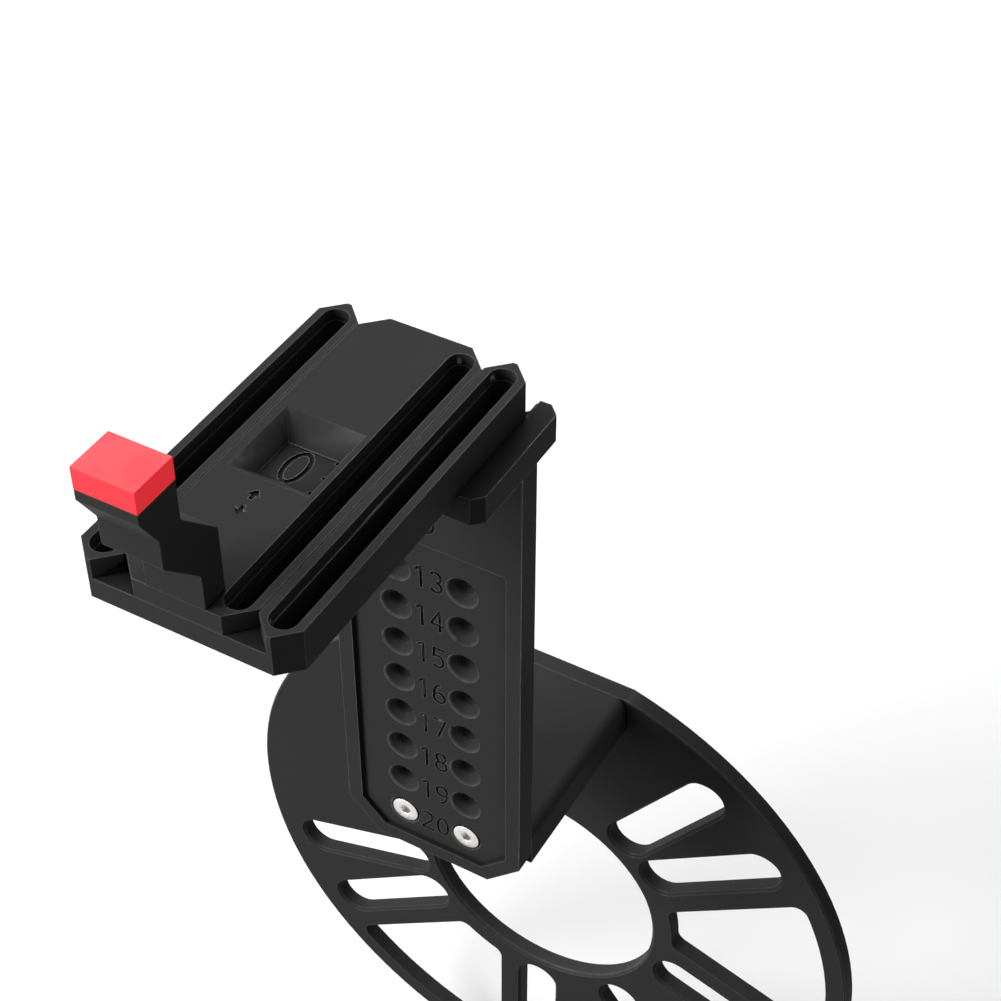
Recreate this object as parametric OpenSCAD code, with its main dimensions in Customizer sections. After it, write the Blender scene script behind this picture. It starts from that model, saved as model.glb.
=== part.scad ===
// Wheel fitment offset gauge: a hub plate that bolts on in place of the wheel, a standoff block,
// an upright arm indexed by wheel diameter, a width carriage, an offset slide and a red lip tip.
// X runs across the wheel, +Y towards the vehicle and +Z up. All sizes are in millimetres.
// The origin is the centre of the hub bore on the plate's seat face.

/* [Hub plate] */
// Radius of the round hub plate
plate_r = 100.5; // [88:0.5:115]
// Thickness of the hub plate
plate_t = 5; // [4:0.25:8]
// Bevel around the plate's front rim
rim_bevel = 0.5; // [0.2:0.1:1]
// Radius of the hub bore
bore_r = 38.25; // [32:0.25:40]
// Bevel on the front of the hub bore
bore_bevel = 1; // [0.4:0.1:1.5]
// Width of a stud slot
slot_w = 12.6; // [11:0.2:13.6]
// Bevel on the front of a stud slot
slot_bevel = 0.8; // [0.3:0.1:1]
// Smallest stud circle radius that a slot takes
slot_in_r = 49; // [48:0.5:53]
// Largest stud circle radius that a slot takes
slot_out_r = 85.8; // [65:0.2:98]
// Least wall around the outer end of a stud slot
slot_wall = 6; // [3:0.5:8]
// Inner radius of a lightening window
window_in_r = 45; // [43:0.5:50]
// Outer radius of a lightening window
window_out_r = 94.3; // [80:0.1:95]
// Least wall outside a lightening window
window_wall = 5; // [3:0.5:6]
// Web left between a window and the stud slot beside it
window_web = 6.2; // [4:0.1:8]
// Rounding of a window's corners
window_round = 3.5; // [1:0.25:5]

/* [Standoff block] */
// Length of the block from the plate to the arm
standoff_len = 52.6; // [40:0.1:70]
// Height of the block
standoff_h = 12; // [11:0.25:16]
// Rounding of the block's two top edges
standoff_round = 3; // [1:0.25:4]
// Spacing of the screws that hold the block to the plate
standoff_screw_gap = 16; // [12:0.5:20]

/* [Arm] */
// Width of the arm
arm_w = 51.5; // [46:0.5:60]
// Thickness of the arm
arm_t = 6.5; // [5:0.25:8]
// Length of the arm above its top row of holes
arm_neck = 53; // [45:0.1:70]
// Length of the arm below its lowest row of holes
arm_foot = 11.7; // [10:0.1:16]
// Chamfer on the arm's two lower corners
foot_chamfer = 9.5; // [5:0.5:12]
// Raised border around the sunk number panel
panel_border = 4.15; // [3:0.05:5]
// Depth of the sunk number panel
panel_depth = 1.25; // [0.5:0.05:2]
// Height of the panel above the top row of holes
panel_top = 11.8; // [8:0.1:16]
// Depth of the engraved figures
engrave = 0.5; // [0.2:0.1:0.8]

/* [Diameter holes] */
// Number of diameter settings
row_count = 8; // [4:1:9]
// Wheel diameter of the top row, in inches
row_first = 13; // [12:1:15]
// Height step for one inch of wheel diameter
row_pitch = 12.7; // [11:0.1:14]
// Distance between the two columns of holes
column_gap = 18.4; // [16:0.2:24]

/* [Screws and inserts] */
// Thread diameter of the arm and block screws
screw_d = 4; // [3.5:0.5:5]
// Diameter of a countersunk screw head
screw_head_d = 7.5; // [7:0.1:8.7]
// Diameter of a countersink at its mouth
sink_d = 9.1; // [9:0.1:10.5]
// Length of an arm screw, head included
arm_screw_len = 17; // [12:0.5:24]
// Length of a block screw, head included
block_screw_len = 14; // [11:0.5:20]
// Width across the flats of the hex socket
hex_w = 2.5; // [2:0.5:3.5]
// Depth of the hex socket
hex_depth = 1.6; // [1:0.1:2.2]
// Bevel on a screw's tip
screw_tip = 0.4; // [0.2:0.1:0.6]
// Outside diameter of a threaded insert
insert_d = 6; // [5.6:0.1:8]
// Length of a threaded insert
insert_len = 9; // [6:0.5:12]
// Length of the waist in a threaded insert
insert_waist = 1.44; // [0.8:0.02:2]
// Depth of the waist in a threaded insert
insert_waist_in = 0.4; // [0.2:0.1:0.6]
// Diameter of the small countersunk screws
small_screw_d = 3; // [2.5:0.5:3.5]
// Head diameter of the small countersunk screws
small_head_d = 5.5; // [4.5:0.1:6]
// Width across the flats of a small screw's socket
small_hex_w = 2; // [1.5:0.1:2]
// Length of a small screw
small_screw_len = 7; // [6.5:0.25:7.25]

/* [Arm head] */
// Width of the shelf at the arm's top
head_w = 62; // [56:0.5:76]
// Thickness of the shelf
head_t = 7.2; // [7:0.1:9]
// Length of the shelf along the carriage's travel
head_len = 34.4; // [30:0.2:45]
// How far the shelf stands past the back of the arm
head_back = 1; // [0:0.1:3]
// Chamfer on the shelf's corners
head_chamfer = 2.5; // [1:0.25:5]
// Width of the step in the shelf's rear edge
notch_w = 49.6; // [40:0.2:54]
// Depth of the step in the shelf's rear edge
notch_d = 4.4; // [2:0.1:5]
// Chamfer in the corners of the step
notch_chamfer = 1.5; // [0.5:0.1:1.8]
// Depth of the channel that the carriage sits in
channel_d = 1.1; // [0.5:0.1:1.4]

/* [Carriage] */
// Width of the carriage
carriage_w = 51.2; // [48:0.2:56]
// Length of the carriage
carriage_len = 91.7; // [86:0.1:110]
// Gap from the shelf's rear edge to the carriage's rear end
carriage_set = 1.7; // [0:0.1:4]
// Thickness of the carriage floor
floor_t = 5.3; // [4.4:0.1:6.5]
// Width of each side rail
rail_w = 10; // [9:0.1:12]
// Flat left at the pointed end of a rail
rail_tip = 1; // [0.5:0.1:2]
// Width of the long grooves
groove_w = 6; // [5:0.1:6.4]
// Ledge inside the long grooves
groove_ledge = 0.5; // [0.2:0.1:0.9]
// Depth of the ledge below the top
groove_step = 2.6; // [1.5:0.1:3.2]
// Distance from a groove's end to the end of its rail
groove_margin = 2.6; // [2:0.1:5]
// Floor left under the long grooves
groove_floor = 1.4; // [1:0.1:2]
// Travel of the carriage along the shelf
width_travel = 50.8; // [25.4:0.1:55]

/* [Guide key] */
// Width of the key's neck
key_neck_w = 10; // [8:0.5:12]
// Width of the key's foot
key_foot_w = 16; // [14.5:0.5:20]
// Distance between the screws that hold the key
key_screw_gap = 30; // [20:0.5:32]
// Sideways place of the carriage's stop pin
key_pin_x = 4.5; // [3.5:0.1:5]
// Distance of the carriage's stop pin from the shelf's rear edge
key_pin_set = 21.95; // [18:0.05:26]
// Distance of the key's near end from the carriage's near end
key_end = 6; // [2:0.5:9]
// Floor left under the key's screw holes
key_floor = 0.5; // [0.3:0.1:1]
// Thickness of the key's foot
key_foot_t = 2.1; // [1.9:0.1:2.4]
// Thickness of the shelf over the key's foot
key_lip_t = 2; // [1.6:0.1:2.2]

/* [Offset slide] */
// Thickness of the offset slide
slide_t = 4.8; // [4.4:0.1:6]
// Chamfer on the slide's four corners
slide_chamfer = 5.3; // [3:0.1:7]
// Distance of the slide's long groove from the middle
slide_groove_x = 10.5; // [10.4:0.05:11]
// Height of the tongue along each edge of the slide
tongue_h = 1.4; // [1:0.1:1.6]
// Height of the tongue above the slide's underside
tongue_rise = 1.2; // [0.8:0.1:1.6]
// Distance of the tongue's ends from the slide's chamfers
tongue_end = 1; // [0.5:0.1:3]
// Reach of the tongue into the rail
tongue_w = 0.9; // [0.5:0.1:1]
// Sideways place of the reading window
reading_x = -3.5; // [-4:0.1:-3]
// Width of the reading window at the top
reading_w = 19.2; // [16:0.1:19.5]
// Length of the reading window at the top
reading_len = 21.2; // [18:0.1:26]
// Width of the reading window at the bottom
reading_low_w = 12.4; // [8:0.1:13]
// Length of the reading window at the bottom
reading_low_len = 10.8; // [6:0.1:14]
// Distance of the travel arrows from the reading window
arrow_set = 7; // [5:0.5:10]
// Reach of each travel arrow from their middle
arrow_len = 4; // [3:0.1:5]
// Travel of the slide towards the vehicle
offset_in = 45; // [20:1:46]
// Travel of the slide towards the street
offset_out = 25; // [10:1:26]

/* [Offset scale] */
// Width of the scale strip
scale_w = 15; // [13:0.5:15.5]
// Clear ring in the scale strip around the slide's stop pin
scale_relief = 0.5; // [0.2:0.1:1]
// Thickness of the scale strip
scale_t = 1; // [0.8:0.1:1.2]
// Distance between two marks on the scale
mark_pitch = 5; // [4:0.5:8]
// Length of a mark on the scale
mark_len = 1.6; // [1:0.1:4]
// Width of a mark on the scale
mark_w = 0.8; // [0.4:0.1:1.2]
// Distance of a mark from the window's lower edge, below zero where the slide covers its end
mark_gap = -1; // [-1.2:0.1:1]
// Distance of the scale's figures from the window's middle
figure_set = 0.7; // [0:0.1:1.5]
// Height of the figures on the scale
scale_figure_h = 10.4; // [5:0.1:11]
// Number of marks from one figure on the scale to the next
figure_every = 3; // [2:1:5]
// Height of the figures on the arm
arm_figure_h = 7; // [5:0.1:8]

/* [Lip post] */
// Width of the lip post
post_w = 13.8; // [10:0.1:14]
// Thickness of the post's upright bars
post_t = 6.4; // [6:0.1:8]
// Height of the post's lower bar at its front
post_low = 8.6; // [6:0.1:12]
// Step of the post towards the street
post_step = 9.8; // [6:0.1:14]
// Height of the post's upper bar at its front
post_neck = 6.8; // [4:0.1:12]
// Overhang of the post's head in front of its upper bar
post_overhang = 4.5; // [3:0.1:7]
// Height of the sloped underside of the head
post_flare = 7.5; // [4:0.1:10]
// Height of the post's head at its front
post_head = 2.4; // [1.5:0.1:5]
// Extra height of the post's bend at its back
post_bend_rise = 0.8; // [0:0.1:2]
// Distance between the two screws that hold the post
post_screw_gap = 7.3; // [6.5:0.1:8]
// Rounding of the edge under the post's head
post_edge_round = 0.6; // [0.2:0.1:1]
// Rounding of the post's bends
post_round = 1.6; // [0.5:0.1:2]

/* [Tip cap] */
// Height of the red tip cap
cap_h = 5.2; // [4:0.1:8]
// Width of the peg inside the cap
peg_w = 7; // [4:0.1:9]
// Height of the peg inside the cap
peg_h = 2.8; // [1:0.1:3]

/* [Hidden parts] */
// Thickness of a leaf spring
leaf_t = 0.35; // [0.2:0.05:0.5]
// Length of a leaf spring
leaf_len = 24; // [16:1:26]
// Bow of a leaf spring
leaf_bow = 0.9; // [0.6:0.05:1]
// Width of a leaf spring
leaf_w = 3; // [2:0.1:3.2]
// Room beside a leaf spring in its pocket
leaf_side = 0.15; // [0.1:0.05:0.3]
// Room past the ends of a leaf spring in its pocket
leaf_end = 0.5; // [0.3:0.1:1]
// Room over a leaf spring in its pocket
leaf_room = 0.1; // [0.05:0.05:0.2]
// How far the slide's leaf spring reaches beside the reading window
leaf_lap = 2; // [0:0.5:4]
// Diameter of a stop pin
pin_d = 2.5; // [2:0.1:2.6]
// Height of a stop pin above the face it stands on
pin_stand = 1; // [0.6:0.1:1.1]
// Wall between the slide's stop pin and the slide's edge
pin_wall = 1.25; // [1:0.05:1.4]

/* [Hidden] */
$fn = 64;

// Fits
press_gap = 0.03;
run_gap = 0.12;
thread_gap = 0.05;
screw_sunk = 0.1;
hole_clear = 0.3;
sink_clear = 0.2;
over = 1;

// Angles of the five-stud and four-stud slots; they share the one at 126 degrees
slot_angles = [54, 126, 198, 270, 342, 36, 216, 306];
window_pairs = [[342 - 360, 36], [216, 270]];
window_edge = slot_w / 2 + slot_bevel + window_web;

// Heights, from the hub's centre up
plate_flat = sqrt(plate_r * plate_r - arm_w * arm_w / 4);
row_low = plate_flat - standoff_h / 2;
row_high = row_low + (row_count - 1) * row_pitch;
arm_bottom = row_low - arm_foot;
head_bottom = row_high + arm_neck;
head_top = head_bottom + head_t;
channel_top = head_top - channel_d;
carriage_bottom = channel_top + run_gap;
floor_top = carriage_bottom + floor_t;
slide_bottom = floor_top + run_gap;
rail_top = slide_bottom + slide_t;

// Distances towards the street side, from the seat face out
arm_back = plate_t + standoff_len;
arm_front = arm_back + arm_t;
panel_face = arm_front - panel_depth;
head_far = arm_back - head_back;
head_near = head_far + head_len;
carriage_far = head_far + carriage_set;
carriage_near = carriage_far + carriage_len;
carriage_mid = (carriage_far + carriage_near) / 2;

// Screws
hole_d = screw_d + hole_clear;
head_rim = (sink_d - screw_head_d - sink_clear) / 2;
small_hole_d = small_screw_d + 2 * thread_gap;
small_sink = (small_head_d - small_screw_d) / 2 + 2 * screw_sunk;

// Carriage and slide across
slide_w = carriage_w - 2 * rail_w - 2 * run_gap;
rail_in = slide_w / 2 + run_gap;
rail_mid = carriage_w / 2 - rail_w / 2;
rail_chamfer = (rail_w - rail_tip) / 2;
groove_low_w = groove_w - 2 * groove_ledge;

// Guide key, from the channel's floor down
key_foot_top = channel_top - key_lip_t - run_gap;
key_bottom = key_foot_top - key_foot_t;
key_seat = key_bottom - run_gap;
key_far = carriage_far + groove_margin;
key_near = carriage_near - key_end;
key_pin_out = head_far + key_pin_set;
key_screw_outs = [carriage_mid - key_screw_gap, carriage_mid, carriage_mid + key_screw_gap];
scale_bottom = floor_top - scale_t;

// Slide's hidden parts
slide_pin_x = pin_wall + pin_d / 2 - slide_w / 2;
slide_pin_out = carriage_mid - (offset_in - offset_out) / 2;
slide_spring_x = (reading_x + reading_low_w / 2 + slide_groove_x - groove_low_w / 2) / 2;
slide_spring_out = carriage_mid + reading_len / 2 + leaf_len / 2 - leaf_lap;
leaf_pocket = leaf_bow + leaf_t - run_gap + leaf_room;
carriage_spring_x = -(key_foot_w / 2 + carriage_w / 2) / 2;
carriage_spring_out = (head_far + notch_d + head_near) / 2;

// Lip post, from the slide's top up and from its front edge out
post_back = carriage_near - post_t;
post_mid = carriage_near - post_t / 2;
neck_front = carriage_near + post_step;
neck_back = neck_front - post_t;
post_head_front = neck_front + post_overhang;
slope_top = post_low + post_step;
flare_low = slope_top + post_neck;
head_low = flare_low + post_flare;
post_top = head_low + post_head;
post_bend = post_low + post_t + post_bend_rise;
peg_len = (post_head_front - neck_back) - 2 * (post_w - peg_w) / 2;
cap_bottom = rail_top + post_top;
figure_w = 0.55;
stroke = 0.105;

black = "#26272a";
dark = "#1d1e20";
steel = "#c9ccd0";
brass = "#b08d4a";
red = "#e8303c";

// Frames: sketch in the plate's plane and push it out, sketch in plan, or sketch from the side

module face_out(start, depth) {
    translate([0, -start, 0]) rotate([90, 0, 0]) linear_extrude(depth) children();
}

module drill_out(x, up, start, depth, r1, r2) {
    translate([x, -start, up]) rotate([90, 0, 0]) cylinder(h = depth, r1 = r1, r2 = r2);
}

module plan(bottom, height) {
    translate([0, 0, bottom]) linear_extrude(height) mirror([0, 1, 0]) children();
}

module side_profile(width) {
    rotate([90, 0, -90]) linear_extrude(width, center = true) children();
}

// Shapes that repeat

module long_hole(start, end, width) {
    translate([start, -width / 2]) square([end - start, width]);
    translate([start, 0]) circle(d = width);
    translate([end, 0]) circle(d = width);
}

module long_groove(x, start, end, width) {
    translate([x, 0]) rotate(90) long_hole(start + width / 2, end - width / 2, width);
}

module chamfered_plan(half_w, far, near, chamfer) {
    inner = half_w - chamfer;
    polygon([[-half_w, far + chamfer], [-inner, far], [inner, far], [half_w, far + chamfer],
             [half_w, near - chamfer], [inner, near], [-inner, near], [-half_w, near - chamfer]]);
}

function unit(v) = v / norm(v);

function turn(a) = a > 180 ? a - 360 : (a < -180 ? a + 360 : a);

// Points of the arc that rounds one corner of an outline
function corner_arc(before, here, after, r) =
    r == 0 ? [here] :
    let (u = unit(before - here), v = unit(after - here))
    let (half = acos(u * v) / 2)
    let (middle = here + unit(u + v) * r / sin(half))
    let (first = here + u * r / tan(half) - middle, last = here + v * r / tan(half) - middle)
    let (start = atan2(first[1], first[0]), sweep = turn(atan2(last[1], last[0]) - start))
    [for (i = [0 : 6]) middle + r * [cos(start + sweep * i / 6), sin(start + sweep * i / 6)]];

function rounded(points, radii) =
    let (n = len(points))
    [for (i = [0 : n - 1])
        each corner_arc(points[(i + n - 1) % n], points[i], points[(i + 1) % n], radii[i])];

// A countersunk screw along +Z with its head's face at zero, a straight rim and its shank below
module sunk_screw(d, head_d, rim, length, socket) {
    cone = (head_d - d) / 2;
    difference() {
        union() {
            if (rim > 0) translate([0, 0, -rim]) cylinder(h = rim, d = head_d);
            translate([0, 0, -rim - cone]) cylinder(h = cone, d1 = d, d2 = head_d);
            translate([0, 0, screw_tip - length]) cylinder(h = length - rim - cone - screw_tip, d = d);
            translate([0, 0, -length]) cylinder(h = screw_tip, d1 = d - 2 * screw_tip, d2 = d);
        }
        translate([0, 0, -hex_depth * head_d / screw_head_d])
            cylinder(h = hex_depth + over, d = socket / cos(30), $fn = 6);
    }
}

module threaded_insert() {
    insert_band = (insert_len - insert_waist) / 2;
    difference() {
        union() {
            cylinder(h = insert_band, d = insert_d);
            translate([0, 0, insert_band]) cylinder(h = insert_waist, d = insert_d - 2 * insert_waist_in);
            translate([0, 0, insert_len - insert_band]) cylinder(h = insert_band, d = insert_d);
        }
        translate([0, 0, -over]) cylinder(h = insert_len + 2 * over, d = screw_d + 2 * thread_gap);
    }
}

// A bowed leaf, its lowest point on zero, seen from the side along X
module leaf_spring() {
    bend_r = (leaf_len * leaf_len / 4 + leaf_bow * leaf_bow) / (2 * leaf_bow);
    intersection() {
        translate([0, 0, bend_r]) rotate([0, 90, 0]) difference() {
            cylinder(h = leaf_w, r = bend_r, center = true, $fn = 180);
            cylinder(h = leaf_w + over, r = bend_r - leaf_t, center = true, $fn = 180);
        }
        translate([-leaf_w, -leaf_len / 2, -over]) cube([2 * leaf_w, leaf_len, leaf_bow + leaf_t + over]);
    }
}

module leaf_pocket_plan(x, out) {
    translate([x - leaf_w / 2 - leaf_side, out - leaf_len / 2 - leaf_end])
        square([leaf_w + 2 * leaf_side, leaf_len + 2 * leaf_end]);
}

// Figures, one unit high and centred, drawn with bars and bows

module bar(from, to) {
    span = to - from;
    translate(from) rotate(atan2(span[1], span[0])) translate([-stroke / 2, -stroke / 2])
        square([norm(span) + stroke, stroke]);
}

function bow_points(middle, rx, ry, a0, a1) =
    [for (i = [0 : 16]) middle + [rx * cos(a0 + (a1 - a0) * i / 16), ry * sin(a0 + (a1 - a0) * i / 16)]];

function backwards(list) = [for (i = [len(list) - 1 : -1 : 0]) list[i]];

module bow(middle, rx, ry, a0, a1) {
    polygon(concat(bow_points(middle, rx + stroke / 2, ry + stroke / 2, a0, a1),
                   backwards(bow_points(middle, rx - stroke / 2, ry - stroke / 2, a0, a1))));
}

module loop(middle, rx, ry) {
    outer = bow_points(middle, rx + stroke / 2, ry + stroke / 2, 0, 360 * 16 / 17);
    inner = bow_points(middle, rx - stroke / 2, ry - stroke / 2, 0, 360 * 16 / 17);
    polygon(concat(outer, inner), [[for (i = [0 : 16]) i], [for (i = [0 : 16]) 17 + i]]);
}

module six() {
    loop([0, -0.2], 0.22, 0.247);
    bow([0.06, -0.13], 0.28, 0.577, 88, 172);
}

module figure(n) {
    if (n == 0) loop([0, 0], 0.22, 0.447);
    if (n == 1) {
        bar([0.06, -0.447], [0.06, 0.447]);
        bar([-0.14, 0.31], [0.02, 0.43]);
    }
    if (n == 2) {
        bow([0, 0.215], 0.215, 0.232, -25, 165);
        bar([0.18, 0.09], [-0.2, -0.42]);
        bar([-0.2, -0.447], [0.22, -0.447]);
    }
    if (n == 3) {
        bow([-0.02, 0.22], 0.2, 0.227, -88, 150);
        bow([-0.02, -0.22], 0.225, 0.227, -150, 84);
    }
    if (n == 4) {
        bar([0.1, -0.447], [0.1, 0.447]);
        bar([0.08, 0.43], [-0.23, -0.16]);
        bar([-0.23, -0.19], [0.24, -0.19]);
    }
    if (n == 5) {
        bar([-0.16, 0.447], [0.19, 0.447]);
        bar([-0.16, 0.4], [-0.18, 0.08]);
        bow([-0.02, -0.165], 0.22, 0.282, -140, 128);
    }
    if (n == 6) six();
    if (n == 7) {
        bar([-0.22, 0.447], [0.21, 0.447]);
        bar([0.2, 0.41], [-0.08, -0.447]);
    }
    if (n == 8) {
        loop([0, 0.232], 0.19, 0.215);
        loop([0, -0.215], 0.22, 0.232);
    }
    if (n == 9) rotate(180) six();
}

// A whole number, centred, of the given height
module number(n, height) {
    scale(height) {
        if (n < 10) figure(n);
        if (n >= 10) {
            translate([-figure_w * 0.6, 0]) figure(floor(n / 10));
            translate([figure_w * 0.6, 0]) figure(n % 10);
        }
    }
}

// Hub plate

module stud_slot(angle) {
    wide = slot_w / 2 + slot_bevel + over;
    rotate([90, 0, 0]) rotate([0, 0, angle]) {
        translate([0, 0, -over]) linear_extrude(plate_t + 2 * over) long_hole(slot_in_r, slot_out_r, slot_w);
        translate([0, 0, plate_t - slot_bevel]) {
            for (r = [slot_in_r, slot_out_r])
                translate([r, 0, 0]) cylinder(h = slot_bevel + over, r1 = slot_w / 2, r2 = wide);
            translate([slot_in_r, 0, 0]) rotate([90, 0, 90]) linear_extrude(slot_out_r - slot_in_r)
                polygon([[-slot_w / 2, 0], [slot_w / 2, 0],
                         [wide, slot_bevel + over], [-wide, slot_bevel + over]]);
        }
    }
}

// The ring sector of one window, grown on all sides by wall
module window_sector(low, high, wall) {
    reach = 2 * (plate_r + window_out_r);
    intersection() {
        difference() {
            circle(window_out_r + wall, $fn = 120);
            circle(window_in_r - wall, $fn = 90);
        }
        rotate(low) translate([0, window_edge - wall]) square([reach, reach]);
        rotate(high) translate([0, wall - window_edge - reach]) square([reach, reach]);
    }
}

module window_sketch(low, high) {
    offset(r = window_round, $fn = 32) offset(delta = -window_round) window_sector(low, high, 0);
}

// The round plate, swelling where a slot or a window would otherwise thin its rim
module plate_blank() {
    rotate([90, 0, 0]) rotate_extrude($fn = 180)
        polygon([[0, 0], [plate_r, 0], [plate_r, plate_t - rim_bevel],
                 [plate_r - rim_bevel, plate_t], [0, plate_t]]);
    if (slot_out_r + slot_w / 2 + slot_wall > plate_r) face_out(0, plate_t)
        for (a = slot_angles) rotate(a) translate([slot_out_r, 0]) circle(slot_w / 2 + slot_wall);
    if (window_out_r + window_wall > plate_r) face_out(0, plate_t)
        for (pair = window_pairs) window_sector(pair[0], pair[1], window_wall);
}

module hub_plate() {
    color(black) difference() {
        plate_blank();
        translate([-plate_r, -plate_t - over, plate_flat]) cube([2 * plate_r, plate_t + 2 * over, plate_r]);
        drill_out(0, 0, -over, plate_t + 2 * over, bore_r, bore_r);
        drill_out(0, 0, plate_t - bore_bevel, bore_bevel + over, bore_r, bore_r + bore_bevel + over);
        for (a = slot_angles) stud_slot(a);
        for (pair = window_pairs) face_out(-over, plate_t + 2 * over) window_sketch(pair[0], pair[1]);
        for (i = [-1 : 1]) {
            drill_out(i * standoff_screw_gap, row_low, -over, plate_t + 2 * over, hole_d / 2, hole_d / 2);
            drill_out(i * standoff_screw_gap, row_low, -over, (sink_d - hole_d) / 2 + screw_sunk + over,
                      sink_d / 2 + screw_sunk + over, hole_d / 2);
        }
    }
}

// Standoff block

module block_section() {
    low = plate_flat - standoff_h;
    inner = arm_w / 2 - standoff_round;
    translate([-arm_w / 2, low]) square([arm_w, standoff_h - standoff_round]);
    translate([-inner, low]) square([2 * inner, standoff_h]);
    for (s = [-1, 1]) translate([s * inner, plate_flat - standoff_round]) circle(standoff_round);
}

module insert_hole(x, start, depth) {
    drill_out(x, row_low, start, depth, insert_d / 2 + press_gap, insert_d / 2 + press_gap);
}

module standoff_block() {
    color(black) difference() {
        face_out(plate_t, standoff_len) block_section();
        for (i = [-1 : 1]) {
            insert_hole(i * standoff_screw_gap, plate_t - over, insert_len + over);
            drill_out(i * standoff_screw_gap, row_low, plate_t, block_screw_len, hole_d / 2, hole_d / 2);
        }
        for (s = [-1, 1]) {
            insert_hole(s * column_gap / 2, arm_back - insert_len, insert_len + over);
            drill_out(s * column_gap / 2, row_low, panel_face - arm_screw_len - over, arm_screw_len,
                      hole_d / 2, hole_d / 2);
        }
    }
}

module standoff_screws() {
    color(steel) for (i = [-1 : 1])
        translate([i * standoff_screw_gap, -screw_sunk, row_low]) rotate([-90, 0, 0])
            sunk_screw(screw_d, screw_head_d, head_rim, block_screw_len, hex_w);
}

module standoff_inserts() {
    color(brass) for (i = [-1 : 1])
        translate([i * standoff_screw_gap, -plate_t, row_low]) rotate([90, 0, 0]) threaded_insert();
}

// Arm with its shelf

module arm_outline() {
    half = arm_w / 2;
    inner = half - foot_chamfer;
    shoulder = arm_bottom + foot_chamfer;
    polygon([[-half, head_bottom + over], [-half, shoulder], [-inner, arm_bottom],
             [inner, arm_bottom], [half, shoulder], [half, head_bottom + over]]);
}

module panel_outline() {
    half = arm_w / 2 - panel_border;
    low = arm_bottom + panel_border;
    chamfer = foot_chamfer - (2 - sqrt(2)) * panel_border;
    polygon([[-half, row_high + panel_top], [-half, low + chamfer], [chamfer - half, low],
             [half - chamfer, low], [half, low + chamfer], [half, row_high + panel_top]]);
}

module notch_outline() {
    half = notch_w / 2;
    inner = half - notch_chamfer;
    floor_out = head_far + notch_d;
    corner_out = floor_out - notch_chamfer;
    polygon([[-half, head_far - over], [-half, corner_out], [-inner, floor_out],
             [inner, floor_out], [half, corner_out], [half, head_far - over]]);
}

// Plain sign for a diameter, in the place above the number panel
module diameter_sign() {
    loop([0, 0], 0.4, 0.4);
    bar([-0.42, -0.42], [0.42, 0.42]);
}

module key_way() {
    far = head_far - over;
    length = head_len + 2 * over;
    neck = key_neck_w / 2 + run_gap;
    foot = key_foot_w / 2 + run_gap;
    seat = carriage_w / 2 + run_gap;
    plan(channel_top, channel_d + over) translate([-seat, far]) square([2 * seat, length]);
    plan(channel_top - key_lip_t - over / 2, head_t) translate([-neck, far]) square([2 * neck, length]);
    plan(key_seat, channel_top - key_lip_t - key_seat) translate([-foot, far]) square([2 * foot, length]);
}

module arm() {
    color(black) difference() {
        union() {
            face_out(arm_back, arm_t) arm_outline();
            plan(head_bottom, head_t) chamfered_plan(head_w / 2, head_far, head_near, head_chamfer);
        }
        plan(head_bottom, head_t + over) notch_outline();
        face_out(panel_face, panel_depth + over) panel_outline();
        for (s = [-1, 1], i = [0 : row_count - 1]) {
            up = row_low + i * row_pitch;
            drill_out(s * column_gap / 2, up, arm_back - over, arm_t + 2 * over, hole_d / 2, hole_d / 2);
            drill_out(s * column_gap / 2, up, panel_face - (sink_d - hole_d) / 2,
                      (sink_d - hole_d) / 2 + over, hole_d / 2, sink_d / 2 + over);
        }
        for (i = [0 : row_count - 1])
            face_out(panel_face - engrave, engrave + over) translate([0, row_high - i * row_pitch])
                number(row_first + i, arm_figure_h);
        face_out(arm_front - engrave, engrave + over) translate([0, row_high + panel_top + arm_figure_h])
            scale(arm_figure_h) diameter_sign();
        key_way();
        plan(channel_top - leaf_pocket, leaf_pocket + over)
            leaf_pocket_plan(carriage_spring_x, carriage_spring_out);
        translate([key_pin_x, -key_pin_out, head_bottom - over])
            cylinder(h = head_t + 2 * over, d = pin_d + 2 * press_gap);
    }
}

module arm_inserts() {
    color(brass) for (s = [-1, 1])
        translate([s * column_gap / 2, insert_len - arm_back, row_low]) rotate([90, 0, 0]) threaded_insert();
}

module arm_screw(side) {
    color(steel) translate([side * column_gap / 2, -panel_face, row_low]) rotate([90, 0, 0])
        sunk_screw(screw_d, screw_head_d, head_rim, arm_screw_len, hex_w);
}

module left_arm_screw() {
    arm_screw(-1);
}

module right_arm_screw() {
    arm_screw(1);
}

module width_stop_pin() {
    color(steel) translate([key_pin_x, -key_pin_out, head_bottom])
        cylinder(h = key_seat + pin_stand - head_bottom, d = pin_d);
}

// Carriage: a floor with two rails

module rail_outline() {
    translate([rail_in + (carriage_w / 2 - rail_in) / 2, 0])
        chamfered_plan((carriage_w / 2 - rail_in) / 2, carriage_far, carriage_near, rail_chamfer);
}

module rail_groove(x, low_floor) {
    far = carriage_far + groove_margin;
    near = carriage_near - groove_margin;
    plan(rail_top - groove_step, groove_step + over) long_groove(x, far, near, groove_w);
    plan(low_floor, rail_top - low_floor)
        long_groove(x, far + groove_ledge, near - groove_ledge, groove_low_w);
}

module scale_plan(gap) {
    translate([reading_x - scale_w / 2 - gap, carriage_far + groove_margin - gap])
        square([scale_w + 2 * gap, carriage_len - 2 * groove_margin + 2 * gap]);
}

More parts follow.
